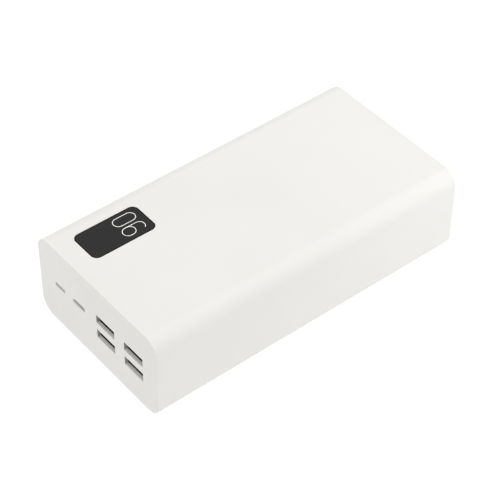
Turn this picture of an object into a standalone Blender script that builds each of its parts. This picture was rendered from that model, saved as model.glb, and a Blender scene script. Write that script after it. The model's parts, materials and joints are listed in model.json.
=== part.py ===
"""Portable power bank: rounded-rectangle sleeve with two end caps, a flush display window,
four USB-A outputs, a USB-C port, a micro-USB input and a side power button.

Metres, +Z up. X is the width, Y the length with the port end at -Y, Z the thickness.
The origin is at the centre of the bottom of the bounding box.
"""

import math

import bmesh
import bpy
from mathutils import Matrix, Vector

MM = 0.001

# Driving dimensions, in millimetres
LENGTH = 160.0
WIDTH = 82.0
HEIGHT = 43.0
CORNER_R = 7.5  # the four long edges
END_R = 0.5  # the edges round each end face
WALL = 2.0
PLATE = 1.7  # end plate thickness
GAP = 0.3  # between neighbouring pieces
SPIGOT = 3.6  # how far an end cap's ring reaches into the sleeve
SPIGOT_WALL = 1.4

WINDOW_X = -21.45
WINDOW_Y = -54.55
WINDOW_W = 17.1
WINDOW_L = 32.0
WINDOW_R = 3.2
LENS_T = 1.6

USB_A_X = (5.68, 24.75)  # centres of the left and the right column
USB_A_Z = (25.05, 16.65)  # centres of the upper and the lower row
USB_A_CUT = (12.4, 4.65, 0.35)
USB_A_SHELL = (13.2, 5.3, 14.0)
USB_A_WALL = 0.3
USB_C_AT = (-12.8, 22.85)
USB_C_CUT = (8.5, 2.5, 1.2)
USB_C_SHELL = (9.0, 3.2, 9.0)
MICRO_AT = (-26.4, 22.45)
MICRO_CUT = (6.95, 1.85, 0.5)
MICRO_SHELL = (7.6, 2.4, 6.0)

BOARD_Z = (19.6, 20.95)
BOARD_W = 73.6
BOARD_Y = (-77.9, -44.0)

BUTTON_Y = -54.5
BUTTON_Z = 23.1
BUTTON_HOLE = (13.0, 6.0)
BUTTON_TRAVEL = 0.5

CELL_W = 72.0
CELL_Y = (-34.0, 74.5)
CELL_T = 8.7
CELL_PITCH = 9.05
CELL_Z0 = 3.4

MID_Z = HEIGHT / 2
FRONT = -LENGTH / 2
PLATE_IN = FRONT + PLATE
SHELL_FRONT = PLATE_IN + GAP

ALONG_Y = Matrix.Rotation(math.radians(90), 4, "X")  # local z to world -Y, local y to +Z
ALONG_X = Matrix.Rotation(math.radians(90), 4, "Z") @ ALONG_Y  # local z to world +X, local x to +Y

for old in list(bpy.data.objects):
    bpy.data.objects.remove(old, do_unlink=True)

scene = bpy.context.scene
parts = bpy.data.collections.new("power_bank")
cutters = bpy.data.collections.new("power_bank_cutters")
cutters.hide_render = True
scene.collection.children.link(parts)
scene.collection.children.link(cutters)


def material(name, color, roughness, metallic=0.0):
    made = bpy.data.materials.new(name)
    made.use_nodes = True
    shader = made.node_tree.nodes["Principled BSDF"]
    shader.inputs["Base Color"].default_value = (*color, 1.0)
    shader.inputs["Roughness"].default_value = roughness
    shader.inputs["Metallic"].default_value = metallic
    return made


WHITE = material("white_shell", (0.80, 0.79, 0.76), 0.45)
SMOKE = material("smoked_lens", (0.035, 0.035, 0.033), 0.18)
STEEL = material("nickel_shell", (0.55, 0.55, 0.54), 0.28, 1.0)
BLACK = material("black_plastic", (0.02, 0.02, 0.02), 0.5)
BOARD = material("green_board", (0.02, 0.12, 0.06), 0.5)
POUCH = material("cell_pouch", (0.62, 0.63, 0.64), 0.35, 0.9)
FOAM = material("foam_pad", (0.08, 0.08, 0.08), 0.9)
FERRITE = material("ferrite", (0.10, 0.10, 0.11), 0.6)
CAN = material("capacitor_can", (0.60, 0.60, 0.62), 0.3, 1.0)
STRIP = material("nickel_strip", (0.66, 0.64, 0.58), 0.35, 1.0)
RED = material("red_lead", (0.55, 0.03, 0.03), 0.45)
DARK_LEAD = material("black_lead", (0.03, 0.03, 0.03), 0.45)
FLEX = material("flex_ribbon", (0.45, 0.25, 0.06), 0.4)
DIFFUSER = material("display_block", (0.72, 0.72, 0.70), 0.5)
SCREW = material("screw_steel", (0.45, 0.45, 0.46), 0.32, 1.0)


def add(name, mesh, mat, matrix=None, cutter=False):
    obj = bpy.data.objects.new(name, mesh)
    (cutters if cutter else parts).objects.link(obj)
    if matrix is not None:
        obj.matrix_world = matrix
    if cutter:
        obj.hide_render = True
        obj.display_type = "WIRE"
    elif mat is not None:
        obj.data.materials.clear()
        obj.data.materials.append(mat)
    return obj


def rounded(w, h, r, seg, cx=0.0, cy=0.0):
    """Points of a rounded rectangle, in millimetres, counter-clockwise."""
    out = []
    for sx, sy, start in ((1, 1, 0), (-1, 1, 90), (-1, -1, 180), (1, -1, 270)):
        for k in range(seg + 1):
            a = math.radians(start + 90 * k / seg)
            out.append((cx + sx * (w / 2 - r) + r * math.cos(a), cy + sy * (h / 2 - r) + r * math.sin(a)))
    return out


def plate_mesh(name, outlines, thickness):
    """A flat outline, with any holes in it, made thick: a filled 2D curve turned into a mesh."""
    curve = bpy.data.curves.new(name + "_outline", "CURVE")
    curve.dimensions = "2D"
    curve.fill_mode = "BOTH"
    curve.extrude = thickness * MM / 2
    for outline in outlines:
        spline = curve.splines.new("POLY")
        spline.points.add(len(outline) - 1)
        for point, (x, y) in zip(spline.points, outline):
            point.co = (x * MM, y * MM, 0, 1)
        spline.use_cyclic_u = True
    guide = bpy.data.objects.new(name + "_outline", curve)
    parts.objects.link(guide)
    bpy.context.view_layer.update()
    graph = bpy.context.evaluated_depsgraph_get()
    mesh = bpy.data.meshes.new_from_object(guide.evaluated_get(graph))
    bpy.data.objects.remove(guide, do_unlink=True)
    bm = bmesh.new()
    bm.from_mesh(mesh)
    bmesh.ops.remove_doubles(bm, verts=bm.verts, dist=1e-6)
    bmesh.ops.recalc_face_normals(bm, faces=bm.faces)
    bm.to_mesh(mesh)
    bm.free()
    mesh.name = name
    return mesh


def plate(name, outlines, thickness, centre, mat, turn=None, cutter=False):
    matrix = Matrix.Translation(Vector(centre) * MM)
    if turn is not None:
        matrix = matrix @ turn
    return add(name, plate_mesh(name, outlines, thickness), mat, matrix, cutter)


def soften(obj, radius, segments, test):
    """Rounds the edges of a plate whose two ends both pass test(local point in mm)."""
    bm = bmesh.new()
    bm.from_mesh(obj.data)
    edges = [e for e in bm.edges if all(test(v.co / MM) for v in e.verts)
             and len(e.link_faces) == 2 and e.calc_face_angle(0) > math.radians(40)]
    bmesh.ops.bevel(bm, geom=edges, offset=radius * MM, segments=segments, profile=0.5, affect="EDGES", clamp_overlap=True)
    bm.to_mesh(obj.data)
    bm.free()
    return obj


def box(name, size, centre, mat, cutter=False, bevel=0.0, segments=1):
    mesh = bpy.data.meshes.new(name)
    bm = bmesh.new()
    bmesh.ops.create_cube(bm, size=1.0, matrix=Matrix.Diagonal((*[s * MM for s in size], 1.0)))
    bm.to_mesh(mesh)
    bm.free()
    obj = add(name, mesh, mat, Matrix.Translation(Vector(centre) * MM), cutter)
    if bevel:
        round_edges = obj.modifiers.new("round_edges", "BEVEL")
        round_edges.width = bevel * MM
        round_edges.segments = segments
        round_edges.limit_method = "ANGLE"
    return obj


def cylinder(name, radius, depth, centre, mat, segments=24, cutter=False, bevel=0.0):
    mesh = bpy.data.meshes.new(name)
    bm = bmesh.new()
    bmesh.ops.create_cone(bm, cap_ends=True, segments=segments, radius1=radius * MM, radius2=radius * MM, depth=depth * MM)
    bm.to_mesh(mesh)
    bm.free()
    obj = add(name, mesh, mat, Matrix.Translation(Vector(centre) * MM), cutter)
    if bevel:
        edge = obj.modifiers.new("round_edges", "BEVEL")
        edge.width = bevel * MM
        edge.segments = 2
        edge.limit_method = "ANGLE"
    smooth(obj)
    return obj


def smooth(obj, angle=35):
    obj.data.shade_smooth()
    obj.data.set_sharp_from_angle(angle=math.radians(angle))


def combine(obj, other, operation):
    modifier = obj.modifiers.new(operation.lower() + "_" + other.name, "BOOLEAN")
    modifier.operation = operation
    modifier.solver = "EXACT"
    modifier.object = other


def cut(obj, other):
    combine(obj, other, "DIFFERENCE")


def join(obj, other):
    combine(obj, other, "UNION")


def settle(obj):
    """Applies the modifiers so that the next step sees the finished mesh."""
    bpy.context.view_layer.update()
    graph = bpy.context.evaluated_depsgraph_get()
    mesh = bpy.data.meshes.new_from_object(obj.evaluated_get(graph))
    mesh.name = obj.name
    obj.modifiers.clear()
    obj.data = mesh


def ring_outline(inset, seg=8):
    return rounded(WIDTH - 2 * inset, HEIGHT - 2 * inset, CORNER_R - inset, seg)


# ---------------------------------------------------------------- housing

SLEEVE_L = LENGTH - 2 * (PLATE + GAP)
sleeve = plate("housing_sleeve", [ring_outline(0), ring_outline(WALL)], SLEEVE_L, (0, 0, MID_Z), WHITE, ALONG_Y)
window_cut = plate("window_cut", [rounded(WINDOW_W, WINDOW_L, WINDOW_R, 6)], 6.0, (WINDOW_X, WINDOW_Y, HEIGHT), None, cutter=True)
cut(sleeve, window_cut)
button_cut = plate("button_cut", [rounded(BUTTON_HOLE[0], BUTTON_HOLE[1], BUTTON_HOLE[1] / 2, 8)], 6.0,
                   (-WIDTH / 2, BUTTON_Y, BUTTON_Z), None, ALONG_X, cutter=True)
cut(sleeve, button_cut)
smooth(sleeve)


def end_cap(name, side):
    """side -1 is the port end, +1 the rear end. The outer edge is rounded by END_R."""
    y_plate = side * (LENGTH / 2 - PLATE / 2)
    cap = plate(name, [ring_outline(0)], PLATE, (0, y_plate, MID_Z), WHITE, ALONG_Y)
    outer = PLATE / 2 if side < 0 else -PLATE / 2  # local z of the outer face, since local z is -Y
    soften(cap, END_R, 3, lambda p: abs(p.z - outer) < 0.01)
    ring = plate(name + "_spigot", [ring_outline(WALL + GAP, 6), ring_outline(WALL + GAP + SPIGOT_WALL, 6)], SPIGOT + 0.4,
                 (0, side * (LENGTH / 2 - PLATE + 0.4 - (SPIGOT + 0.4) / 2), MID_Z), None, ALONG_Y, cutter=True)
    join(cap, ring)
    return cap


port_cap = end_cap("port_end_cap", -1)
for column, x in enumerate(USB_A_X):
    for row, z in enumerate(USB_A_Z):
        cut(port_cap, plate("usb_a_cut_%d%d" % (column, row), [rounded(*USB_A_CUT, 3)], 8.0, (x, FRONT, z), None, ALONG_Y, cutter=True))
cut(port_cap, plate("usb_c_cut", [rounded(*USB_C_CUT, 6)], 8.0, (USB_C_AT[0], FRONT, USB_C_AT[1]), None, ALONG_Y, cutter=True))
cut(port_cap, plate("micro_cut", [rounded(*MICRO_CUT, 4)], 8.0, (MICRO_AT[0], FRONT, MICRO_AT[1]), None, ALONG_Y, cutter=True))

# Two rails inside the port end carry the main board, each with a screw hole.
RAIL_X = 35.1
RAIL_Y = (PLATE_IN - 0.5, -50.0)
SCREW_Y = -66.0
for side in (-1, 1):
    rail = box("board_rail_%s" % ("left" if side < 0 else "right"), (3.6, RAIL_Y[1] - RAIL_Y[0], 3.0),
               (side * RAIL_X, sum(RAIL_Y) / 2, BOARD_Z[0] - GAP - 1.5), None, cutter=True)
    join(port_cap, rail)
for side in (-1, 1):
    cut(port_cap, cylinder("rail_hole_%s" % ("left" if side < 0 else "right"), 1.1, 8.0,
                           (side * RAIL_X, SCREW_Y, BOARD_Z[0] - 1.5), None, 16, cutter=True))
smooth(port_cap)
rear_cap = end_cap("rear_end_cap", 1)
smooth(rear_cap)

# ---------------------------------------------------------------- display

lens = plate("display_window", [rounded(WINDOW_W - 2 * GAP, WINDOW_L - 2 * GAP, WINDOW_R - GAP, 6)], LENS_T,
             (WINDOW_X, WINDOW_Y, HEIGHT - LENS_T / 2), SMOKE)
smooth(lens)
DISPLAY_TOP = HEIGHT - WALL - GAP
block = box("display_light_block", (21.0, 36.0, 2.6), (WINDOW_X, WINDOW_Y, DISPLAY_TOP - 1.3), DIFFUSER, bevel=0.4)
box("display_board", (19.0, 34.0, 1.0), (WINDOW_X, WINDOW_Y, DISPLAY_TOP - 2.6 - GAP - 0.5), BOARD)
DISPLAY_BOARD_BOTTOM = DISPLAY_TOP - 2.6 - GAP - 1.0


def strip_outline(points, t):
    """Outline of a thin strip of thickness t that follows points, in its own plane."""
    left, right = [], []
    for i, (x, y) in enumerate(points):
        a = Vector(points[max(i - 1, 0)])
        b = Vector(points[min(i + 1, len(points) - 1)])
        d = (b - a).normalized()
        left.append((x - d.y * t / 2, y + d.x * t / 2))
        right.append((x + d.y * t / 2, y - d.x * t / 2))
    return left + right[::-1]


def arc(cx, cy, r, start, end, n):
    return [(cx + r * math.cos(math.radians(start + (end - start) * k / n)),
             cy + r * math.sin(math.radians(start + (end - start) * k / n))) for k in range(n + 1)]


# The ribbon leaves the display board, turns down and lies on the main board. Outline in Y and Z.
top_z = DISPLAY_BOARD_BOTTOM - GAP - 0.15
low_z = BOARD_Z[1] + GAP + 0.15
route = [(-52.0, top_z)] + arc(-46.5, top_z - 1.5, 1.5, 90, 0, 5) + arc(-46.5, low_z + 1.5, 1.5, 0, -90, 5) + [(-50.0, low_z)]
plate("display_ribbon", [strip_outline(route, 0.3)], 7.0, (WINDOW_X, 0, 0), FLEX, ALONG_X)

# ---------------------------------------------------------------- main board

board_len = BOARD_Y[1] - BOARD_Y[0]
main_board = box("main_board", (BOARD_W, board_len, BOARD_Z[1] - BOARD_Z[0]), (0, sum(BOARD_Y) / 2, sum(BOARD_Z) / 2), BOARD)
for side in (-1, 1):
    word = "left" if side < 0 else "right"
    cut(main_board, cylinder("board_hole_" + word, 1.35, 6.0, (side * RAIL_X, SCREW_Y, BOARD_Z[1]), None, 16, cutter=True))


def turned(name, profile, centre, mat, steps=20):
    """A turned piece: profile is (radius, z) in millimetres, from the top down its outer side."""
    mesh = bpy.data.meshes.new(name)
    mesh.from_pydata([(r * MM, 0, z * MM) for r, z in profile], [(i, i + 1) for i in range(len(profile) - 1)], [])
    obj = add(name, mesh, mat, Matrix.Translation(Vector(centre) * MM))
    screw = obj.modifiers.new("turn", "SCREW")
    screw.steps = steps
    screw.render_steps = steps
    screw.use_merge_vertices = True
    screw.merge_threshold = 0.00001
    screw.use_smooth_shade = True
    return obj


for side in (-1, 1):
    word = "left" if side < 0 else "right"
    top = BOARD_Z[1] + GAP + 1.2
    turned("board_screw_" + word, [(0, 1.2), (1.3, 1.1), (1.9, 0.7), (2.0, 0.0), (0.75, 0.0), (0.75, -4.4), (0.0, -4.9)],
           (side * RAIL_X, SCREW_Y, BOARD_Z[1] + GAP), SCREW, 16)


def port_shell(name, size, inner, outer_outline, inner_outline, x, z, depth):
    """A connector's metal can: a tube open at the front with a closed back."""
    can = plate(name, [outer_outline], depth, (x, SHELL_FRONT + depth / 2, z), STEEL, ALONG_Y)
    hollow = plate(name + "_hollow", [inner_outline], depth, (x, SHELL_FRONT + depth / 2 - inner, z), None, ALONG_Y, cutter=True)
    cut(can, hollow)
    smooth(can)
    return can


for column, x in enumerate(USB_A_X):
    for row, z in enumerate(USB_A_Z):
        label = ("upper", "lower")[row] + "_" + ("left", "right")[column]
        w, h, d = USB_A_SHELL
        port_shell("usb_a_shell_" + label, None, 1.0, rounded(w, h, 0.7, 2), rounded(w - 2 * USB_A_WALL, h - 2 * USB_A_WALL, 0.3, 1), x, z, d)
        tongue_z = z + h / 2 - USB_A_WALL - 0.6 - 0.92
        box("usb_a_tongue_" + label, (11.1, 10.0, 1.84), (x, SHELL_FRONT + 1.6 + 5.0, tongue_z), BLACK, bevel=0.3)

w, h, d = USB_C_SHELL
port_shell("usb_c_shell", None, 0.8, rounded(w, h, h / 2 - 0.02, 6), rounded(w - 0.6, h - 0.6, (h - 0.6) / 2 - 0.02, 6), *USB_C_AT, d)
box("usb_c_tongue", (6.7, 6.8, 0.7), (USB_C_AT[0], SHELL_FRONT + 0.9 + 3.4, USB_C_AT[1]), BLACK)


def micro_outline(w, h, k):
    """Wider at the top, with the two lower corners cut."""
    return [(w / 2, h / 2), (-w / 2, h / 2), (-w / 2, -h / 2 + k), (-w / 2 + k * 0.8, -h / 2), (w / 2 - k * 0.8, -h / 2), (w / 2, -h / 2 + k)]


w, h, d = MICRO_SHELL
port_shell("micro_usb_shell", None, 0.8, micro_outline(w, h, 0.9), micro_outline(w - 0.6, h - 0.6, 0.8), *MICRO_AT, d)
box("micro_usb_tongue", (3.7, 4.0, 0.6), (MICRO_AT[0], SHELL_FRONT + 0.8 + 2.0, MICRO_AT[1] + 0.35), BLACK)

ON_BOARD = BOARD_Z[1] + GAP
for word, x in (("left", 2.5), ("right", 17.0)):
    box("power_inductor_" + word, (11.0, 11.0, 5.4), (x, -54.0, ON_BOARD + 2.7), FERRITE, bevel=1.0, segments=2)
box("boost_controller_chip", (7.0, 7.0, 1.0), (-9.5, -56.0, ON_BOARD + 0.5), BLACK, bevel=0.2)
box("charge_controller_chip", (6.0, 6.0, 1.0), (-22.0, -62.0, ON_BOARD + 0.5), BLACK, bevel=0.2)
for word, y in (("front", -57.5), ("rear", -48.5)):
    cylinder("output_capacitor_" + word, 3.9, 8.6, (29.5, y, ON_BOARD + 4.3), CAN, 20, bevel=0.6)

# ---------------------------------------------------------------- button and its switch

SWITCH_X = (-35.6, -31.2)
switch = box("switch_body", (SWITCH_X[1] - SWITCH_X[0], 6.4, 3.6), (sum(SWITCH_X) / 2, BUTTON_Y, BUTTON_Z), BLACK, bevel=0.2)
settle(switch)
cut(switch, box("switch_pocket", (4.0, 3.6, 2.2), (SWITCH_X[0], BUTTON_Y, BUTTON_Z), None, cutter=True))
PLUNGER_X = (-37.4, -34.5)
plunger = box("switch_plunger", (PLUNGER_X[1] - PLUNGER_X[0], 3.0, 1.6), (sum(PLUNGER_X) / 2, BUTTON_Y, BUTTON_Z), BLACK, bevel=0.15)

FACE_X = -WIDTH / 2 + 0.05
BACK_X = -WIDTH / 2 + WALL + 0.4
button = plate("power_button", [rounded(BUTTON_HOLE[0] - 2 * GAP, BUTTON_HOLE[1] - 2 * GAP, BUTTON_HOLE[1] / 2 - GAP - 0.01, 8)],
               BACK_X + 0.6 - FACE_X, ((FACE_X + BACK_X + 0.6) / 2, BUTTON_Y, BUTTON_Z), WHITE, ALONG_X)
face = -(BACK_X + 0.6 - FACE_X) / 2
soften(button, 0.35, 2, lambda p: abs(p.z - face) < 0.01)
flange = plate("button_flange", [rounded(BUTTON_HOLE[0] + 2.0, BUTTON_HOLE[1] + 2.0, 3.9, 6)], 0.8,
               (BACK_X + 0.4, BUTTON_Y, BUTTON_Z), None, ALONG_X, cutter=True)
join(button, flange)
smooth(button)

# ---------------------------------------------------------------- battery

cell_len = CELL_Y[1] - CELL_Y[0]
cell_mid = sum(CELL_Y) / 2
for i in range(4):
    z = CELL_Z0 + CELL_PITCH * i + CELL_T / 2
    cell = box("battery_cell_%d" % (i + 1), (CELL_W, cell_len, CELL_T), (0, cell_mid, z), POUCH, bevel=1.4, segments=2)
    settle(cell)
    lip = box("cell_lip_%d" % (i + 1), (66.0, 6.0, 1.0), (0, CELL_Y[0] - 2.0, z), None, cutter=True)
    join(cell, lip)

top_of_cells = CELL_Z0 + CELL_PITCH * 3 + CELL_T
foam_top_t = HEIGHT - WALL - GAP - (top_of_cells + GAP)
plate("foam_pad_top", [rounded(62.0, 100.0, 2.0, 3)], foam_top_t, (0, cell_mid, top_of_cells + GAP + foam_top_t / 2), FOAM)
plate("foam_pad_bottom", [rounded(62.0, 100.0, 2.0, 3)], CELL_Z0 - GAP - WALL - GAP, (0, cell_mid, (CELL_Z0 - GAP + WALL + GAP) / 2), FOAM)

# Each strip runs up the front of the stack, with a finger over every cell's lip.
for word, x in (("positive", -22.0), ("negative", 22.0)):
    base = CELL_Z0 + CELL_T / 2
    post_h = 3 * CELL_PITCH + 3.0
    strip = box("cell_strip_" + word, (8.0, 0.5, post_h), (x, CELL_Y[0] - 5.0 - GAP - 0.35, base + post_h / 2 - 1.2), STRIP)
    for i in range(4):
        z = CELL_Z0 + CELL_PITCH * i + CELL_T / 2 + 0.5 + GAP + 0.2
        join(strip, box("strip_finger_%s_%d" % (word, i), (8.0, 4.6, 0.4), (x, CELL_Y[0] - 3.5, z), None, cutter=True))

box("cell_protection_board", (36.0, 1.2, 12.0), (0, -40.9, 12.0), BOARD)


def lead(name, points, mat, radius=0.9):
    """An insulated wire along a smooth route through points."""
    curve = bpy.data.curves.new(name, "CURVE")
    curve.dimensions = "3D"
    curve.bevel_depth = radius * MM
    curve.bevel_resolution = 2
    curve.use_fill_caps = True
    pts = [Vector(p) for p in points]
    line = []
    for i in range(len(pts) - 1):
        a, b = pts[max(i - 1, 0)], pts[i]
        c, e = pts[i + 1], pts[min(i + 2, len(pts) - 1)]
        for k in range(4):
            t = k / 4
            line.append(0.5 * (2 * b + (c - a) * t + (2 * a - 5 * b + 4 * c - e) * t * t + (3 * b - a - 3 * c + e) * t ** 3))
    line.append(pts[-1])
    spline = curve.splines.new("POLY")
    spline.points.add(len(line) - 1)
    for point, p in zip(spline.points, line):
        point.co = (p.x * MM, p.y * MM, p.z * MM, 1)
    obj = bpy.data.objects.new(name, curve)
    parts.objects.link(obj)
    curve.materials.append(mat)
    return obj


for word, x, mat in (("positive", -8.0, RED), ("negative", 8.0, DARK_LEAD)):
    lead("battery_lead_" + word, [(x, -42.7, 14.5), (x, -44.0, 14.5), (x, -46.5, 14.6), (x, -49.0, 15.4), (x, -50.2, 16.9), (x, -50.4, 19.0)], mat)
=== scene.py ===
import json
import math

import bmesh
import bpy
from mathutils import Matrix, Vector


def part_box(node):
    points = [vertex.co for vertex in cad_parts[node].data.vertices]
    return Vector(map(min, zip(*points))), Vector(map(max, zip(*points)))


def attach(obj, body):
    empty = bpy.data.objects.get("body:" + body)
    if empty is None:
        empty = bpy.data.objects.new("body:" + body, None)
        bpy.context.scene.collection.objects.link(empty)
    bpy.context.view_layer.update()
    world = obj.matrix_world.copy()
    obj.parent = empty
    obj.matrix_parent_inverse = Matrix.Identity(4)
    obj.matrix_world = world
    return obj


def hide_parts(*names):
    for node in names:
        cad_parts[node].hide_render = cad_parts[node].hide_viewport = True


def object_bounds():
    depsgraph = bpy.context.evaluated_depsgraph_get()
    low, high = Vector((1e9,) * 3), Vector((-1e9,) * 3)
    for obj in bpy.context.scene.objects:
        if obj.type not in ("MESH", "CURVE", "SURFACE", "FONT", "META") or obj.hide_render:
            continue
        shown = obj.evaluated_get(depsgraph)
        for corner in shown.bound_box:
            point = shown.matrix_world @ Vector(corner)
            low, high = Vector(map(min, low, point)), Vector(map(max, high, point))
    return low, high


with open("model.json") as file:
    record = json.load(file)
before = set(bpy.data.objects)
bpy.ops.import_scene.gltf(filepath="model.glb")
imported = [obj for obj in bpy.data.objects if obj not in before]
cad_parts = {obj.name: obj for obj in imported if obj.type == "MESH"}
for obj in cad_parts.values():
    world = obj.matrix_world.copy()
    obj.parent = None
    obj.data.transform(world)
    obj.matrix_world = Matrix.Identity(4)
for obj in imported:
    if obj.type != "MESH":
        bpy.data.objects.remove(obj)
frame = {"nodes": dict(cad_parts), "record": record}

cad_lo, cad_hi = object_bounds()
MM = 0.001
LO = [c / MM for c in cad_lo]
HI = [c / MM for c in cad_hi]
W, L, H = HI[0] - LO[0], HI[1] - LO[1], HI[2]
MID_Z = H / 2
FRONT = LO[1]
CORNER_R, END_R, WALL = 7.5, 0.5, 2.0
SEAM = 0.01

ALONG_Y = Matrix.Rotation(math.radians(90), 4, "X")   # local z to world -Y, local y to +Z
ALONG_X = Matrix.Rotation(math.radians(90), 4, "Z") @ ALONG_Y  # local z to world +X, local x to +Y
scene = bpy.context.scene


def mm_box(node):
    lo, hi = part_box(node)
    return [v / MM for v in lo], [v / MM for v in hi]


def middle(node):
    lo, hi = mm_box(node)
    return [(a + b) / 2 for a, b in zip(lo, hi)]


# ------------------------------------------------------------------ materials

def new_material(name, color=(0.8, 0.8, 0.8), roughness=0.5, metallic=0.0):
    mat = bpy.data.materials.new(name)
    mat.use_nodes = True
    tree = mat.node_tree
    shader = tree.nodes["Principled BSDF"]
    shader.inputs["Base Color"].default_value = (*color, 1)
    shader.inputs["Roughness"].default_value = roughness
    shader.inputs["Metallic"].default_value = metallic
    coords = tree.nodes.new("ShaderNodeTexCoord")
    return mat, tree, shader, coords.outputs["Object"]


def node(tree, kind, **settings):
    made = tree.nodes.new(kind)
    for key, value in settings.items():
        if key.startswith("in_"):
            made.inputs[key[3:].replace("_", " ")].default_value = value
        else:
            setattr(made, key, value)
    return made


def noise(tree, vector, scale, detail=3.0, rough=0.5, stretch=None):
    if stretch is not None:
        mapping = node(tree, "ShaderNodeMapping")
        mapping.inputs["Scale"].default_value = stretch
        tree.links.new(vector, mapping.inputs["Vector"])
        vector = mapping.outputs["Vector"]
    made = node(tree, "ShaderNodeTexNoise", in_Scale=scale, in_Detail=detail, in_Roughness=rough)
    tree.links.new(vector, made.inputs["Vector"])
    return made.outputs["Fac"]


def ramp_color(tree, fac, stops):
    made = node(tree, "ShaderNodeValToRGB")
    elements = made.color_ramp.elements
    while len(elements) < len(stops):
        elements.new(0.5)
    for element, (at, color) in zip(elements, stops):
        element.position = at
        element.color = (*color, 1)
    tree.links.new(fac, made.inputs["Fac"])
    return made.outputs["Color"]


def map_range(tree, fac, low, high, from_low=0.3, from_high=0.7):
    made = node(tree, "ShaderNodeMapRange")
    made.inputs["From Min"].default_value = from_low
    made.inputs["From Max"].default_value = from_high
    made.inputs["To Min"].default_value = low
    made.inputs["To Max"].default_value = high
    tree.links.new(fac, made.inputs["Value"])
    return made.outputs["Result"]


def bump(tree, shader, height, distance, strength=1.0, after=None):
    made = node(tree, "ShaderNodeBump")
    made.inputs["Strength"].default_value = strength
    made.inputs["Distance"].default_value = distance
    tree.links.new(height, made.inputs["Height"])
    if after is not None:
        tree.links.new(after, made.inputs["Normal"])
    tree.links.new(made.outputs["Normal"], shader.inputs["Normal"])
    return made.outputs["Normal"]


def shell_plastic(name="white_shell_plastic", low=(0.775, 0.765, 0.735), high=(0.800, 0.791, 0.762)):
    """Warm-white moulded plastic: a fine spark-eroded grain, very slight tone drift and uneven sheen."""
    mat, tree, shader, at = new_material(name, roughness=0.42)
    drift = noise(tree, at, 18.0, 2.0)
    tree.links.new(ramp_color(tree, drift, [(0.30, low), (0.70, high)]), shader.inputs["Base Color"])
    sheen = noise(tree, at, 240.0, 4.0)
    tree.links.new(map_range(tree, sheen, 0.50, 0.60), shader.inputs["Roughness"])
    grain = noise(tree, at, 2600.0, 2.0, 0.6)
    first = bump(tree, shader, grain, 0.00002, 0.35)
    wave = noise(tree, at, 55.0, 1.0)
    bump(tree, shader, wave, 0.00003, 0.25, first)
    shader.inputs["IOR"].default_value = 1.46
    return mat


def add_math(tree, op, a, b=None):
    made = node(tree, "ShaderNodeMath", operation=op)
    for socket, value in zip(made.inputs, (a, b)):
        if value is None:
            continue
        if isinstance(value, (int, float)):
            socket.default_value = value
        else:
            tree.links.new(value, socket)
    return made.outputs[0]


def rounded_distance(tree, at, cx, cy, w, h, r):
    """Signed distance, in metres, to the outline of a rounded rectangle in X and Y: negative inside."""
    split = node(tree, "ShaderNodeSeparateXYZ")
    tree.links.new(at, split.inputs[0])
    px = add_math(tree, "ABSOLUTE", add_math(tree, "SUBTRACT", split.outputs["X"], cx))
    py = add_math(tree, "ABSOLUTE", add_math(tree, "SUBTRACT", split.outputs["Y"], cy))
    qx = add_math(tree, "SUBTRACT", px, w / 2 - r)
    qy = add_math(tree, "SUBTRACT", py, h / 2 - r)
    ax = add_math(tree, "MAXIMUM", qx, 0.0)
    ay = add_math(tree, "MAXIMUM", qy, 0.0)
    out = add_math(tree, "SQRT", add_math(tree, "ADD", add_math(tree, "MULTIPLY", ax, ax), add_math(tree, "MULTIPLY", ay, ay)))
    inner = add_math(tree, "MINIMUM", add_math(tree, "MAXIMUM", qx, qy), 0.0)
    return add_math(tree, "SUBTRACT", add_math(tree, "ADD", out, inner), r)


def lens_material(cx, cy, w, h, r):
    """Smoked window: a printed border, faintly speckled tint inside it, polished face."""
    mat, tree, shader, at = new_material("smoked_window", roughness=0.1)
    edge = rounded_distance(tree, at, cx * MM, cy * MM, w * MM, h * MM, r * MM)
    border = map_range(tree, edge, 0.0, 1.0, -0.00052, -0.00034)
    speck = noise(tree, at, 900.0, 3.0)
    tint = ramp_color(tree, speck, [(0.35, (0.0050, 0.0050, 0.0048)), (0.65, (0.0065, 0.0065, 0.0062))])
    mix = node(tree, "ShaderNodeMix", data_type="RGBA")
    tree.links.new(border, mix.inputs["Factor"])
    tree.links.new(tint, mix.inputs["A"])
    mix.inputs["B"].default_value = (0.0015, 0.0015, 0.0015, 1)
    tree.links.new(mix.outputs["Result"], shader.inputs["Base Color"])
    haze = noise(tree, at, 160.0, 3.0)
    tree.links.new(map_range(tree, haze, 0.10, 0.15), shader.inputs["Roughness"])
    tree.links.new(map_range(tree, border, 0.5, 0.16, 0.0, 1.0), shader.inputs["Specular IOR Level"])
    bump(tree, shader, noise(tree, at, 70.0, 1.0), 0.00001, 0.2)
    shader.inputs["IOR"].default_value = 1.40
    return mat


def print_material():
    mat, tree, shader, at = new_material("display_light_print", roughness=0.5)
    tone = noise(tree, at, 1400.0, 2.0)
    color = ramp_color(tree, tone, [(0.3, (0.76, 0.76, 0.75)), (0.7, (0.84, 0.84, 0.83))])
    tree.links.new(color, shader.inputs["Base Color"])
    tree.links.new(color, shader.inputs["Emission Color"])
    shader.inputs["Emission Strength"].default_value = 0.55
    return mat


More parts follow.
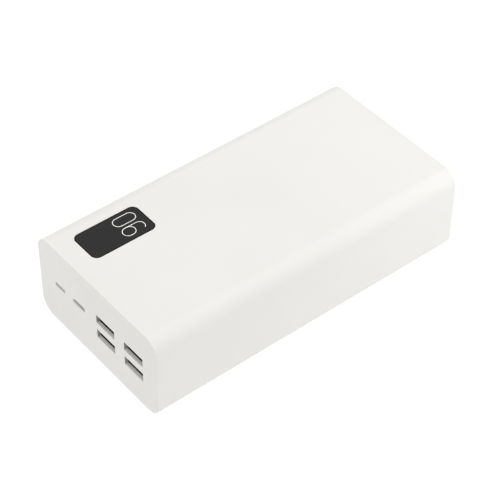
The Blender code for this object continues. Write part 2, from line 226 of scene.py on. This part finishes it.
def metal(name, color, rough, brush=(1, 1, 1), scale=900.0, depth=0.000004, dark=0.82, throat=None):
    """Plated or rolled metal with drawn streaks and slight tarnish. throat is the two local heights, in metres,
    between which the plating turns to near black, painted shade deep in the connector's mouth."""
    mat, tree, shader, at = new_material(name, color, rough, 1.0)
    tarnish = noise(tree, at, 320.0, 4.0)
    tone = ramp_color(tree, tarnish, [(0.3, tuple(c * dark for c in color)), (0.72, color)])
    # Painted shade: towards the can's open front the colour blends to near black, standing in for the shade inside the
    # mouth.
    if throat is not None:
        split = node(tree, "ShaderNodeSeparateXYZ")
        tree.links.new(at, split.inputs[0])
        mix = node(tree, "ShaderNodeMix", data_type="RGBA")
        tree.links.new(map_range(tree, split.outputs["Z"], 0.0, 1.0, *throat), mix.inputs["Factor"])
        tree.links.new(tone, mix.inputs["A"])
        mix.inputs["B"].default_value = (0.010, 0.010, 0.0098, 1)
        tone = mix.outputs["Result"]
    tree.links.new(tone, shader.inputs["Base Color"])
    streak = noise(tree, at, scale, 4.0, 0.6, brush)
    tree.links.new(map_range(tree, streak, rough * 0.8, rough * 1.3), shader.inputs["Roughness"])
    bump(tree, shader, streak, depth, 0.6)
    return mat


def moulded(name, color, rough, scale=2200.0, depth=0.00001, spread=0.25):
    """Plain moulded plastic or rubber with a fine grain."""
    mat, tree, shader, at = new_material(name, color, rough)
    tone = noise(tree, at, 420.0, 3.0)
    tree.links.new(ramp_color(tree, tone, [(0.3, tuple(c * (1 - spread / 2) for c in color)), (0.7, tuple(min(1, c * (1 + spread / 2)) for c in color))]), shader.inputs["Base Color"])
    tree.links.new(map_range(tree, noise(tree, at, 700.0, 3.0), rough * 0.88, min(1, rough * 1.15)), shader.inputs["Roughness"])
    bump(tree, shader, noise(tree, at, scale, 2.0), depth, 0.5)
    return mat


def board_material():
    """Solder mask over etched tracks: long straight copper runs show as lighter green, with pads of tinned copper."""
    mat, tree, shader, at = new_material("green_solder_mask", (0.01, 0.09, 0.04), 0.35)
    brick = node(tree, "ShaderNodeTexBrick", in_Scale=230.0)
    brick.inputs["Color1"].default_value = (0.012, 0.105, 0.048, 1)
    brick.inputs["Color2"].default_value = (0.016, 0.130, 0.060, 1)
    brick.inputs["Mortar"].default_value = (0.006, 0.055, 0.026, 1)
    brick.inputs["Mortar Size"].default_value = 0.018
    tree.links.new(at, brick.inputs["Vector"])
    cells = node(tree, "ShaderNodeTexVoronoi", in_Scale=260.0)
    tree.links.new(at, cells.inputs["Vector"])
    via = map_range(tree, cells.outputs["Distance"], 1.0, 0.0, 0.10, 0.14)
    mix = node(tree, "ShaderNodeMix", data_type="RGBA")
    tree.links.new(via, mix.inputs["Factor"])
    tree.links.new(brick.outputs["Color"], mix.inputs["A"])
    mix.inputs["B"].default_value = (0.55, 0.52, 0.44, 1)
    tree.links.new(mix.outputs["Result"], shader.inputs["Base Color"])
    tree.links.new(map_range(tree, noise(tree, at, 500.0), 0.28, 0.42), shader.inputs["Roughness"])
    bump(tree, shader, brick.outputs["Fac"], 0.00003, 0.5)
    return mat


def pouch_material():
    """Laminated foil of a pouch cell: satin silver with soft creases."""
    mat, tree, shader, at = new_material("cell_foil", (0.62, 0.63, 0.64), 0.34, 0.85)
    crease = noise(tree, at, 60.0, 5.0, 0.6, (1.0, 0.5, 1.0))
    tree.links.new(ramp_color(tree, crease, [(0.3, (0.52, 0.53, 0.55)), (0.7, (0.70, 0.71, 0.72))]), shader.inputs["Base Color"])
    tree.links.new(map_range(tree, noise(tree, at, 900.0), 0.28, 0.42), shader.inputs["Roughness"])
    bump(tree, shader, crease, 0.0003, 0.4)
    return mat


WHITE = shell_plastic()
METAL = metal("nickel_can", (0.20, 0.198, 0.19), 0.34, (1, 0.08, 1), 1500.0)
# USB-A cans: nickel with painted shade, near black at the open front where the mouth lies in shade.
THROAT_SHADED_METAL = metal("can_painted_throat_shade", (0.42, 0.415, 0.40), 0.34, (1, 1, 0.08), 1500.0, throat=(0.0046, 0.0053))
TONGUE = moulded("black_tongue_plastic", (0.010, 0.010, 0.010), 0.45)
GOLD = metal("gold_contact", (0.80, 0.58, 0.26), 0.24, (1, 0.1, 1), 2000.0, 0.000002, 0.9)
PRINT = print_material()
SLOTS = {
    "white_shell": WHITE,
    "nickel_shell": METAL,
    "black_plastic": moulded("black_moulding", (0.016, 0.016, 0.017), 0.5),
    "circuit_board": board_material(),
    "cell_pouch": pouch_material(),
    "foam": moulded("cell_foam", (0.05, 0.05, 0.052), 0.92, 900.0, 0.00012, 0.5),
    "ferrite": moulded("sintered_ferrite", (0.075, 0.078, 0.085), 0.62, 1500.0, 0.00003, 0.4),
    "capacitor_can": metal("capacitor_sleeve", (0.60, 0.60, 0.63), 0.3, (1, 1, 0.1), 700.0),
    "nickel_strip": metal("nickel_strip", (0.62, 0.59, 0.53), 0.34, (0.1, 1, 1), 900.0),
    "red_lead": moulded("red_insulation", (0.42, 0.018, 0.016), 0.42),
    "black_lead": moulded("black_insulation", (0.018, 0.018, 0.018), 0.42),
    "flex_ribbon": moulded("polyimide_ribbon", (0.42, 0.19, 0.035), 0.3, 500.0, 0.00002),
    "display_block": moulded("diffuser_plastic", (0.70, 0.70, 0.68), 0.5),
    "screw_steel": metal("zinc_screw", (0.52, 0.52, 0.50), 0.3),
}
NODE_SLOT = {entry["node"]: entry["material_slot"] for entry in frame["record"]["subparts"]}


# ------------------------------------------------------------------ mesh helpers

made_collection = bpy.data.collections.new("visual_pieces")
scene.collection.children.link(made_collection)


def add(name, mesh, mat=None, matrix=None):
    obj = bpy.data.objects.new(name, mesh)
    made_collection.objects.link(obj)
    if matrix is not None:
        obj.matrix_world = matrix
    if mat is not None:
        obj.data.materials.clear()
        obj.data.materials.append(mat)
    return obj


def rounded(w, h, r, seg, cx=0.0, cy=0.0):
    out = []
    for sx, sy, start in ((1, 1, 0), (-1, 1, 90), (-1, -1, 180), (1, -1, 270)):
        for k in range(seg + 1):
            a = math.radians(start + 90 * k / seg)
            out.append((cx + sx * (w / 2 - r) + r * math.cos(a), cy + sy * (h / 2 - r) + r * math.sin(a)))
    return out


def ring_outline(inset, seg=24):
    return rounded(W - 2 * inset, H - 2 * inset, CORNER_R - inset, seg)


def plate(name, outlines, thickness, centre, mat=None, turn=None):
    """A flat outline with any holes, made thick, as a closed mesh."""
    curve = bpy.data.curves.new(name, "CURVE")
    curve.dimensions = "2D"
    curve.fill_mode = "BOTH"
    curve.extrude = thickness * MM / 2
    for outline in outlines:
        spline = curve.splines.new("POLY")
        spline.points.add(len(outline) - 1)
        for point, (x, y) in zip(spline.points, outline):
            point.co = (x * MM, y * MM, 0, 1)
        spline.use_cyclic_u = True
    guide = bpy.data.objects.new(name + "_guide", curve)
    scene.collection.objects.link(guide)
    bpy.context.view_layer.update()
    mesh = bpy.data.meshes.new_from_object(guide.evaluated_get(bpy.context.evaluated_depsgraph_get()))
    bpy.data.objects.remove(guide, do_unlink=True)
    bm = bmesh.new()
    bm.from_mesh(mesh)
    bmesh.ops.remove_doubles(bm, verts=bm.verts, dist=1e-6)
    bmesh.ops.recalc_face_normals(bm, faces=bm.faces)
    bm.to_mesh(mesh)
    bm.free()
    matrix = Matrix.Translation(Vector(centre) * MM)
    return add(name, mesh, mat, matrix @ turn if turn is not None else matrix)


def block(name, size, centre, mat=None):
    mesh = bpy.data.meshes.new(name)
    bm = bmesh.new()
    bmesh.ops.create_cube(bm, size=1.0, matrix=Matrix.Diagonal((*[s * MM for s in size], 1.0)))
    bm.to_mesh(mesh)
    bm.free()
    return add(name, mesh, mat, Matrix.Translation(Vector(centre) * MM))


def soften(obj, radius, segments, test, angle=40):
    """Rounds the sharp edges whose two ends pass test(local point in mm)."""
    bm = bmesh.new()
    bm.from_mesh(obj.data)
    edges = [e for e in bm.edges if all(test(v.co / MM) for v in e.verts)
             and len(e.link_faces) == 2 and e.calc_face_angle(0) > math.radians(angle)]
    bmesh.ops.bevel(bm, geom=edges, offset=radius * MM, segments=segments, profile=0.5, affect="EDGES", clamp_overlap=True)
    bm.to_mesh(obj.data)
    bm.free()
    return obj


def settle(obj):
    bpy.context.view_layer.update()
    mesh = bpy.data.meshes.new_from_object(obj.evaluated_get(bpy.context.evaluated_depsgraph_get()))
    mesh.name = obj.name
    obj.modifiers.clear()
    obj.data = mesh
    return obj


def boolean(obj, other, operation):
    modifier = obj.modifiers.new("cut", "BOOLEAN")
    modifier.operation = operation
    modifier.solver = "EXACT"
    modifier.object = other
    settle(obj)
    bpy.data.objects.remove(other, do_unlink=True)
    return obj


def cut(obj, other):
    return boolean(obj, other, "DIFFERENCE")


def join(obj, other):
    return boolean(obj, other, "UNION")


def rim(obj, width, segments=3, angle=32):
    """A fine radius on every sharp edge."""
    modifier = obj.modifiers.new("edge_radius", "BEVEL")
    modifier.width = width * MM
    modifier.segments = segments
    modifier.limit_method = "ANGLE"
    modifier.angle_limit = math.radians(angle)
    modifier.use_clamp_overlap = False
    modifier.harden_normals = False
    return settle(obj)


def finish_piece(obj, mat, body="housing", replaces=(), angle=35, extra=None, picks=None):
    """extra is a second material, for the faces whose centre and normal (world, in mm) pass picks."""
    obj.data.materials.clear()
    obj.data.materials.append(mat)
    if extra is not None:
        obj.data.materials.append(extra)
    for polygon in obj.data.polygons:
        inside = extra is not None and picks(obj.matrix_world @ polygon.center / MM, obj.matrix_world.to_3x3() @ polygon.normal)
        polygon.material_index = 1 if inside else 0
    obj.data.shade_smooth()
    obj.data.set_sharp_from_angle(angle=math.radians(angle))
    even = obj.modifiers.new("even_normals", "WEIGHTED_NORMAL")
    even.mode = "FACE_AREA"
    even.weight = 60
    even.keep_sharp = True
    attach(obj, body)
    if replaces:
        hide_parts(*replaces)
    return obj


# ------------------------------------------------------------------ housing

PLATE_IN = FRONT + (mm_box("housing_sleeve")[0][1] - FRONT) - 0.3  # inner face of the port end plate
PLATE = PLATE_IN - FRONT
window_lo, window_hi = mm_box("display_window")
window_at = middle("display_window")
WINDOW_W, WINDOW_L = window_hi[0] - window_lo[0] + 0.6, window_hi[1] - window_lo[1] + 0.6
button_at = middle("power_button")

sleeve = plate("shell_sleeve", [ring_outline(0), ring_outline(WALL)], L - 2 * PLATE - 2 * SEAM, (0, 0, MID_Z), turn=ALONG_Y)
cut(sleeve, plate("window_cut", [rounded(WINDOW_W, WINDOW_L, 3.2, 14)], 6.0, (window_at[0], window_at[1], H)))
cut(sleeve, plate("button_cut", [rounded(13.0, 6.0, 2.995, 16)], 6.0, (LO[0], button_at[1], button_at[2]), turn=ALONG_X))
seam_z = L / 2 - PLATE - SEAM
soften(sleeve, 0.07, 2, lambda p: abs(p.z) < seam_z - 0.5)
finish_piece(sleeve, WHITE, replaces=["housing_sleeve"])


def end_cap(name, side):
    cap = plate(name, [ring_outline(0)], PLATE, (0, side * (L / 2 - PLATE / 2), MID_Z), turn=ALONG_Y)
    outer = PLATE / 2 if side < 0 else -PLATE / 2
    soften(cap, END_R, 8, lambda p: abs(p.z - outer) < 0.01)
    ring = plate(name + "_ring", [ring_outline(WALL + 0.3, 12), ring_outline(WALL + 1.7, 12)], 4.0,
                 (0, side * (L / 2 - PLATE + 0.4 - 2.0), MID_Z), turn=ALONG_Y)
    return join(cap, ring)


port_cap = end_cap("port_end_plate", -1)
USB_A = ["upper_left", "upper_right", "lower_left", "lower_right"]
for label in USB_A:
    x, _, z = middle("usb_a_shell_" + label)
    cut(port_cap, plate("cut", [rounded(12.4, 4.65, 0.35, 5)], 8.0, (x, FRONT, z), turn=ALONG_Y))
usb_c_at = middle("usb_c_shell")
micro_at = middle("micro_usb_shell")
cut(port_cap, plate("cut", [rounded(8.5, 2.5, 1.2, 10)], 8.0, (usb_c_at[0], FRONT, usb_c_at[2]), turn=ALONG_Y))
cut(port_cap, plate("cut", [rounded(6.95, 1.85, 0.5, 6)], 8.0, (micro_at[0], FRONT, micro_at[2]), turn=ALONG_Y))
board_lo, board_hi = mm_box("main_board")
screw_left, screw_right = middle("board_screw_left"), middle("board_screw_right")
for side, at in ((-1, screw_left), (1, screw_right)):
    join(port_cap, block("rail", (3.6, -50.0 - (PLATE_IN - 0.5), 3.0), (at[0], (PLATE_IN - 0.5 - 50.0) / 2, board_lo[2] - 1.8)))
    cut(port_cap, plate("rail_hole", [rounded(2.2, 2.2, 1.099, 8)], 9.0, (at[0], at[1], board_lo[2] - 1.5)))
soften(port_cap, 0.07, 2, lambda p: p.z > PLATE / 2 - 0.01)
MOUTHS = [middle("usb_a_shell_" + label) for label in USB_A]
# The side walls inside the four USB-A mouths get a darker copy of the shell plastic: painted shade in the recess.
finish_piece(port_cap, WHITE, replaces=["port_end_cap"],
             extra=shell_plastic("mouth_wall_painted_shade", (0.40, 0.395, 0.38), (0.44, 0.435, 0.42)),
             picks=lambda c, n: abs(n.x) > 0.8 and FRONT + 0.05 < c.y < PLATE_IN + 0.1
             and any(abs(abs(c.x - m[0]) - 6.2) < 0.1 and abs(c.z - m[2]) < 2.4 for m in MOUTHS))
rear_cap = end_cap("rear_end_plate", 1)
finish_piece(rear_cap, WHITE, replaces=["rear_end_cap"])

# ------------------------------------------------------------------ display window

lens_w, lens_l = WINDOW_W - 0.12, WINDOW_L - 0.12
LENS_TOP = H - 0.03
lens = plate("display_lens", [rounded(lens_w, lens_l, 3.14, 14)], 1.57, (window_at[0], window_at[1], LENS_TOP - 0.785))
soften(lens, 0.22, 4, lambda p: p.z > 0.7)
LENS = lens_material(window_at[0], window_at[1], lens_w, lens_l, 3.14)
LENS_OBJECT = lens
for vertex in lens.data.vertices:
    vertex.co += lens.matrix_world.translation
lens.matrix_world = Matrix.Identity(4)
finish_piece(lens, LENS, replaces=["display_window"])


def stroke_piece(name, paths, width, z, thick, mat, body="housing"):
    """Flat round-ended strokes lying in X and Y, each path a list of points in millimetres; one mesh."""
    bm = bmesh.new()
    for path in paths:
        left, right, caps = [], [], []
        pts = [Vector(p) for p in path]
        n = len(pts)
        outline = []
        r = width / 2
        start = (pts[1] - pts[0]).normalized()
        end = (pts[-1] - pts[-2]).normalized()
        for i, p in enumerate(pts):
            if i == 0:
                d = start
                scale = 1.0
            elif i == n - 1:
                d = end
                scale = 1.0
            else:
                a, b = (p - pts[i - 1]).normalized(), (pts[i + 1] - p).normalized()
                d = (a + b).normalized()
                scale = 1.0 / max(0.5, d.dot(b))
            side = Vector((-d.y, d.x)) * r * scale
            left.append(p + side)
            right.append(p - side)
        a0 = math.atan2(end.y, end.x)
        tip = [pts[-1] + Vector((math.cos(a0 + math.radians(90 - k * 30)), math.sin(a0 + math.radians(90 - k * 30)))) * r for k in range(1, 6)]
        b0 = math.atan2(-start.y, -start.x)
        tail = [pts[0] + Vector((math.cos(b0 + math.radians(90 - k * 30)), math.sin(b0 + math.radians(90 - k * 30)))) * r for k in range(1, 6)]
        outline = left + tip + right[::-1] + tail
        bottom = [bm.verts.new((p.x * MM, p.y * MM, (z - thick) * MM)) for p in outline]
        top = [bm.verts.new((p.x * MM, p.y * MM, z * MM)) for p in outline]
        count = len(outline)
        bm.faces.new(top)
        bm.faces.new(bottom[::-1])
        for k in range(count):
            bm.faces.new((bottom[k], bottom[(k + 1) % count], top[(k + 1) % count], top[k]))
    bmesh.ops.recalc_face_normals(bm, faces=bm.faces)
    mesh = bpy.data.meshes.new(name)
    bm.to_mesh(mesh)
    bm.free()
    obj = add(name, mesh, mat)
    finish_piece(obj, mat, body)
    return obj


def arc_points(cx, cy, rx, ry, start, end, n):
    return [(cx + rx * math.cos(math.radians(start + (end - start) * k / n)),
             cy + ry * math.sin(math.radians(start + (end - start) * k / n))) for k in range(n + 1)]


# A charge reading in thin round-ended strokes, upright for someone at the far end: a 9 and a 0.
DIGIT_W, DIGIT_H, DIGIT_STEP = 5.0, 10.7, 6.9
read_x, read_y = window_at[0] - 0.2, window_at[1] + 7.3
r = DIGIT_W / 2
low_v, top_v = -DIGIT_H / 2 + r, DIGIT_H / 2 - r


def reading(path):
    """Text coordinates, right and up, turned half way round onto the lens."""
    return [(read_x - u, read_y - v) for u, v in path]


nine_u, zero_u = -DIGIT_STEP / 2, DIGIT_STEP / 2
zero = arc_points(zero_u, top_v, r, r, 180, 0, 24) + arc_points(zero_u, low_v, r, r, 0, -180, 24)
nine_loop = arc_points(nine_u, top_v, r, r, 180, 0, 24) + arc_points(nine_u, top_v - 0.9, r, r, 0, -180, 24)
nine_tail = [(nine_u + r, top_v - 0.45)] + arc_points(nine_u, low_v, r, r, 0, -140, 20)
stroke_piece("charge_digits", [reading(zero + zero[:1]), reading(nine_loop + nine_loop[:1]), reading(nine_tail)],
             0.25, H - 0.012, 0.03, PRINT)

# ------------------------------------------------------------------ connectors


def can_piece(name, nodes_name, w, h, r, wall, depth, back, seg, fingers=(), mat=METAL):
    """A stamped connector can, open at the front, with its sprung contact fingers bent into the mouth."""
    x, y, z = middle(nodes_name)
    y0 = PLATE_IN + 0.08
    y1 = mm_box(nodes_name)[1][1]
    d = y1 - y0
    can = plate(name, [rounded(w, h, r, seg)], d, (x, (y0 + y1) / 2, z), turn=ALONG_Y)
    cut(can, plate("hollow", [rounded(w - 2 * wall, h - 2 * wall, max(0.1, r - wall), seg)], d, (x, (y0 + y1) / 2 - back, z), turn=ALONG_Y))
    for fx, side in fingers:
        profile = [(0.0, 0.0), (9.0, 0.0), (9.0, 0.15), (6.0, 0.35), (3.2, 0.62), (2.2, 0.62), (0.9, 0.30), (0.0, 0.05)]
        inner = h / 2 - wall
        points = [(x + fx, y0 + 1.2 + a, z + side * (inner + 0.02 - b)) for a, b in profile]
        bm = bmesh.new()
        faces = []
        for off in (-0.85, 0.85):
            faces.append([bm.verts.new(((px + off) * MM, py * MM, pz * MM)) for px, py, pz in points])
        bm.faces.new(faces[0])
        bm.faces.new(faces[1][::-1])
        for k in range(len(points)):
            j = (k + 1) % len(points)
            bm.faces.new((faces[0][k], faces[1][k], faces[1][j], faces[0][j]))
        bmesh.ops.recalc_face_normals(bm, faces=bm.faces)
        mesh = bpy.data.meshes.new("finger")
        bm.to_mesh(mesh)
        bm.free()
        join(can, add("finger", mesh))
    rim(can, 0.05, 2)
    finish_piece(can, mat, replaces=[nodes_name])
    return can


def contact_strips(name, xs, y0, length, z, w, t):
    bm = bmesh.new()
    for x in xs:
        made = bmesh.ops.create_cube(bm, size=1.0, matrix=Matrix.Translation(Vector((x, y0 + length / 2, z)) * MM)
                                     @ Matrix.Diagonal((w * MM, length * MM, t * MM, 1)))
        front = [v for v in made["verts"] if v.co.y < (y0 + length / 2) * MM]
        for v in front:
            v.co.z -= (v.co.z - z * MM) * 0.5
    mesh = bpy.data.meshes.new(name)
    bm.to_mesh(mesh)
    bm.free()
    obj = add(name, mesh)
    rim(obj, 0.02, 1)
    finish_piece(obj, GOLD)
    return obj


for label in USB_A:
    can_piece("usb_a_can_" + label, "usb_a_shell_" + label, 13.2, 5.3, 0.7, 0.3, 14.0, 1.0, 6,
              [(-3.2, -1), (3.2, -1), (-3.2, 1), (3.2, 1)], THROAT_SHADED_METAL)
    node_name = "usb_a_tongue_" + label
    lo, hi = mm_box(node_name)
    x, y, z = middle(node_name)
    tongue = block("usb_a_blade_" + label, (hi[0] - lo[0], hi[1] - lo[1], hi[2] - lo[2]), (x, y, z))
    for k in range(4):
        cx = x + (-3.5, -1.0, 1.0, 3.5)[k]
        cut(tongue, block("groove", (1.25, hi[1] - lo[1], 0.3), (cx, y + 0.8, lo[2])))
    rim(tongue, 0.16, 3)
    finish_piece(tongue, TONGUE, replaces=[node_name])
    contact_strips("usb_a_contacts_" + label, [x - 3.5, x - 1.0, x + 1.0, x + 3.5], lo[1] + 1.1, 8.2, lo[2] + 0.03, 1.0, 0.16)

can_piece("usb_c_can", "usb_c_shell", 9.0, 3.2, 1.58, 0.3, 9.0, 0.8, 12)
lo, hi = mm_box("usb_c_tongue")
x, y, z = middle("usb_c_tongue")
c_tongue = plate("usb_c_blade", [rounded(hi[0] - lo[0], hi[1] - lo[1], 0.6, 6)], hi[2] - lo[2], (x, y, z))
rim(c_tongue, 0.12, 3)
finish_piece(c_tongue, TONGUE, replaces=["usb_c_tongue"])
pins = [x + (k - 5.5) * 0.5 for k in range(12)]
contact_strips("usb_c_contacts_upper", pins, lo[1] + 0.7, 3.6, hi[2], 0.26, 0.07)
contact_strips("usb_c_contacts_lower", pins, lo[1] + 0.7, 3.6, lo[2], 0.26, 0.07)


def micro_outline(w, h, k):
    return [(w / 2, h / 2), (-w / 2, h / 2), (-w / 2, -h / 2 + k), (-w / 2 + k * 0.8, -h / 2), (w / 2 - k * 0.8, -h / 2), (w / 2, -h / 2 + k)]


x, y, z = middle("micro_usb_shell")
y0, y1 = PLATE_IN + 0.08, mm_box("micro_usb_shell")[1][1]
micro = plate("micro_usb_can", [micro_outline(7.6, 2.4, 0.8)], y1 - y0, (x, (y0 + y1) / 2, z), turn=ALONG_Y)
cut(micro, plate("hollow", [micro_outline(7.0, 1.8, 0.7)], y1 - y0, (x, (y0 + y1) / 2 - 0.8, z), turn=ALONG_Y))
rim(micro, 0.08, 3)
finish_piece(micro, METAL, replaces=["micro_usb_shell"])
lo, hi = mm_box("micro_usb_tongue")
x, y, z = middle("micro_usb_tongue")
m_tongue = plate("micro_usb_blade", [rounded(hi[0] - lo[0], hi[1] - lo[1], 0.35, 5)], hi[2] - lo[2], (x, y, z))
rim(m_tongue, 0.1, 2)
finish_piece(m_tongue, TONGUE, replaces=["micro_usb_tongue"])
contact_strips("micro_usb_contacts", [x + (k - 2) * 0.65 for k in range(5)], lo[1] + 0.4, 3.0, lo[2], 0.36, 0.07)

# ------------------------------------------------------------------ power button

lo, hi = mm_box("power_button")
bx, by, bz = middle("power_button")
FACE = lo[0]
depth = 2.9
button = plate("power_button_cap", [rounded(12.76, 5.76, 2.875, 20)], depth, (FACE + depth / 2, by, bz), turn=ALONG_X)
soften(button, 0.45, 6, lambda p: p.z < -depth / 2 + 0.01)
dish = bpy.data.meshes.new("dish")
bm = bmesh.new()
bmesh.ops.create_uvsphere(bm, u_segments=96, v_segments=64, radius=1.0, matrix=Matrix.Diagonal((30.0 * MM, 64.0 * MM, 26.0 * MM, 1)))
bm.to_mesh(dish)
bm.free()
cut(button, add("dish", dish, None, Matrix.Translation(Vector((FACE - 30.0 + 0.16, by, bz)) * MM)))
join(button, plate("flange", [rounded(15.0, 8.0, 3.9, 12)], 0.8, (hi[0] - 0.4, by, bz), turn=ALONG_X))
finish_piece(button, shell_plastic("button_plastic", (0.765, 0.755, 0.725), (0.79, 0.78, 0.752)), "power_button", ["power_button"], 32)

# ------------------------------------------------------------------ the CAD nodes that stay

for name, obj in frame["nodes"].items():
    if obj.hide_render or obj.hide_get():
        continue
    mat = SLOTS[NODE_SLOT[name]]
    if not obj.material_slots:
        obj.data.materials.append(mat)
    for slot in obj.material_slots:
        slot.material = mat

# ------------------------------------------------------------------ floor, light, camera


def stage_material():
    mat, tree, shader, at = new_material("studio_floor", (0.26, 0.26, 0.26), 0.9)
    tone = noise(tree, at, 3.0, 2.0)
    tree.links.new(ramp_color(tree, tone, [(0.3, (0.255, 0.255, 0.253)), (0.7, (0.27, 0.27, 0.268))]), shader.inputs["Base Color"])
    shader.inputs["Specular IOR Level"].default_value = 0.0
    shader.inputs["Emission Color"].default_value = (1.0, 1.0, 1.0, 1)
    shader.inputs["Emission Strength"].default_value = 0.82
    return mat


floor_mesh = bpy.data.meshes.new("studio_floor")
bm = bmesh.new()
bmesh.ops.create_circle(bm, cap_ends=True, segments=96, radius=6.0)
bm.to_mesh(floor_mesh)
bm.free()
floor = add("studio_floor", floor_mesh, stage_material(), Matrix.Translation((0, 0, -0.0002)))

world = bpy.data.worlds.new("studio_world")
scene.world = world
world.use_nodes = True
sky = world.node_tree
sky_at = node(sky, "ShaderNodeTexCoord")
sky_split = node(sky, "ShaderNodeSeparateXYZ")
sky.links.new(sky_at.outputs["Generated"], sky_split.inputs[0])
# Even walls of light, brighter towards the zenith like a large diffuser overhead.
zenith = add_math(sky, "POWER", add_math(sky, "MAXIMUM", sky_split.outputs["Z"], 0.0), 4.0)
sky.links.new(add_math(sky, "ADD", add_math(sky, "MULTIPLY", zenith, 1.785), 0.447), sky.nodes["Background"].inputs["Strength"])
sky.nodes["Background"].inputs["Color"].default_value = (1.0, 1.0, 1.0, 1)


def area_light(name, at, aim, size, power, color=(1, 1, 1)):
    data = bpy.data.lights.new(name, "AREA")
    data.shape = "RECTANGLE"
    data.size, data.size_y = size
    data.energy = power
    data.color = color
    obj = bpy.data.objects.new(name, data)
    scene.collection.objects.link(obj)
    obj.location = at
    obj.rotation_mode = "QUATERNION"
    obj.rotation_quaternion = (Vector(aim) - Vector(at)).to_track_quat("-Z", "Y")
    obj.visible_camera = False
    return obj


area_light("far_right_softbox", (0.25, 0.30, 0.12), (0.04, 0.08, 0.02), (0.15, 0.15), 0.345)
area_light("rear_softbox", (0.0, 0.45, 0.35), (0, 0, 0.02), (0.3, 0.3), 0.114)
area_light("front_left_card", (-0.15, -0.35, 0.15), (-0.02, -0.08, 0.02), (0.15, 0.15), 0.068)

scene.view_settings.view_transform = "Standard"
scene.view_settings.look = "None"
scene.view_settings.exposure = 0.0
scene.view_settings.gamma = 1.0

AZ, EL, ROLL, DIST, TY, FOCAL = 50.6365, 44.2391, 0.600, 0.766382, -0.003896, 1793.271
a, e, roll = (math.radians(v) for v in (AZ, EL, ROLL))
back = Vector((math.sin(a) * math.cos(e), -math.cos(a) * math.cos(e), math.sin(e)))
right = Vector((math.cos(a), math.sin(a), 0.0))
up = back.cross(right)
right_r = right * math.cos(roll) + up * math.sin(roll)
up_r = up * math.cos(roll) - right * math.sin(roll)
camera_data = bpy.data.cameras.new("camera")
camera_data.sensor_width = 36.0
camera_data.lens = FOCAL / 500.0 * 36.0
camera_data.clip_start, camera_data.clip_end = 0.05, 50.0
camera = bpy.data.objects.new("camera", camera_data)
scene.collection.objects.link(camera)
turn = Matrix((right_r, up_r, back)).transposed().to_4x4()
turn.translation = Vector((0, 0, 0.021333)) + back * DIST + up_r * TY - right_r * 0.000109
camera.matrix_world = turn
scene.camera = camera
